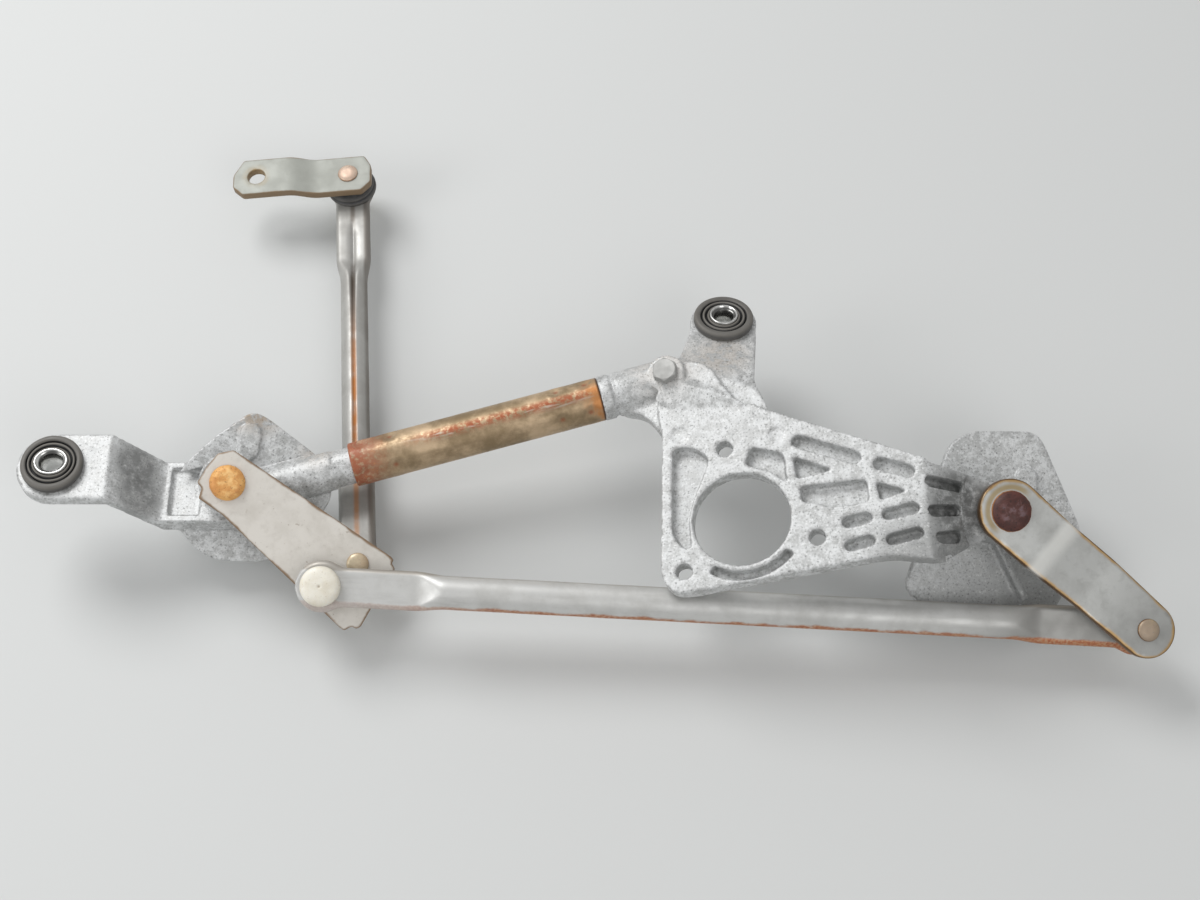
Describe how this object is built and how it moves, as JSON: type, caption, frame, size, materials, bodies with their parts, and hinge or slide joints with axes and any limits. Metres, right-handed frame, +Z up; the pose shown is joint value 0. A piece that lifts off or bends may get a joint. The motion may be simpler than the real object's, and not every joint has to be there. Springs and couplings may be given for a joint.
{
  "type": "wiper linkage",
  "caption": "Windscreen wiper linkage: cast frame and tube with two lever pivots, coupled levers, ball-jointed rods and a loose motor crank.",
  "frame": {"origin": "middle of the bounding box, on the floor that the part lies on", "axes": "+X along the linkage from the slotted fixing eye to the right lever, +Y from the long rod to the crank, +Z up from the floor, levers on the upper side"},
  "size_m": [0.4968, 0.2672, 0.0748],
  "materials": {
    "cast": "die-cast, speckled with white corrosion",
    "tube": "olive-yellow zinc with rust",
    "rubber": "moulded, dusty",
    "collar": "bright zinc",
    "bush": "sintered, oiled",
    "bolt": "dull zinc",
    "left_head": "orange rust on the riveted head",
    "right_head": "dark red rust on the riveted head",
    "washer": "plain",
    "left_lever": "dulled zinc, off-white bloom",
    "right_lever": "zinc with yellow edges",
    "stud": "zinc, lightly rusted",
    "long_rod": "satin zinc, rusty lower edge",
    "nylon": "ivory nylon",
    "motor_rod": "satin zinc, rusty seam",
    "crank": "zinc, brown edges"
  },
  "bodies": {
    "frame": {"left_housing": "cast", "frame_tube": "tube", "motor_frame": "cast", "left_grommet": "rubber", "mid_grommet": "rubber", "left_collar": "collar", "mid_collar": "collar", "left_upper_bush": "bush", "left_lower_bush": "bush", "right_upper_bush": "bush", "right_lower_bush": "bush", "elbow_bolt": "bolt"},
    "left_lever": {"left_shaft": "left_head", "left_thrust_washer": "washer", "left_lower_washer": "washer", "left_ring": "washer", "left_lever": "left_lever", "left_rod_stud": "stud", "left_drive_stud": "stud"},
    "right_lever": {"right_shaft": "right_head", "right_thrust_washer": "washer", "right_lower_washer": "washer", "right_ring": "washer", "right_lever": "right_lever", "right_rod_stud": "stud"},
    "long_rod": {"long_rod": "long_rod", "long_rod_left_socket": "nylon", "long_rod_right_socket": "nylon"},
    "drive_socket": {"motor_rod_drive_socket": "nylon"},
    "motor_rod": {"motor_rod": "motor_rod", "motor_rod_crank_socket": "nylon", "crank_boot": "rubber"},
    "crank": {"crank": "crank", "crank_stud": "stud"}
  },
  "joints": [
    {"name": "left_pivot", "type": "hinge", "parent": "frame", "child": "left_lever", "pos_m": [-0.1566, -0.0593, 0.049], "axis": [-0.1251, 0.4384, -0.89], "range_deg": [0, 70]},
    {"name": "right_pivot", "type": "hinge", "parent": "frame", "child": "right_lever", "pos_m": [0.17898, -0.07912, 0.06061], "axis": [-0.1251, 0.4384, -0.89], "range_deg": [0, 60]},
    {"name": "long_rod_ball", "type": "hinge", "parent": "left_lever", "child": "long_rod", "pos_m": [-0.11494, -0.10102, 0.03271], "axis": [-0.1251, 0.4384, -0.89], "range_deg": [-68, 0]},
    {"name": "drive_ball", "type": "hinge", "parent": "left_lever", "child": "drive_socket", "pos_m": [-0.10246, -0.08203, 0.01558], "axis": [-0.1251, 0.4384, -0.89], "range_deg": [-70, 0]},
    {"name": "motor_rod_swing", "type": "hinge", "parent": "drive_socket", "child": "motor_rod", "pos_m": [-0.10246, -0.08203, 0.01558], "axis": [0, 0, -1], "range_deg": [0, 70]},
    {"name": "crank_turn", "type": "hinge", "parent": "motor_rod", "child": "crank", "pos_m": [-0.1175, 0.12281, 0.01558], "axis": [-0.0697, -0.0037, 0.9976], "continuous": true}
  ],
  "couplings": [
    {"joint": "right_pivot", "follows": "left_pivot", "ratio": 0.845},
    {"joint": "long_rod_ball", "follows": "left_pivot", "ratio": -0.964},
    {"joint": "drive_ball", "follows": "left_pivot", "ratio": -1},
    {"joint": "motor_rod_swing", "follows": "left_pivot", "ratio": 1}
  ]
}
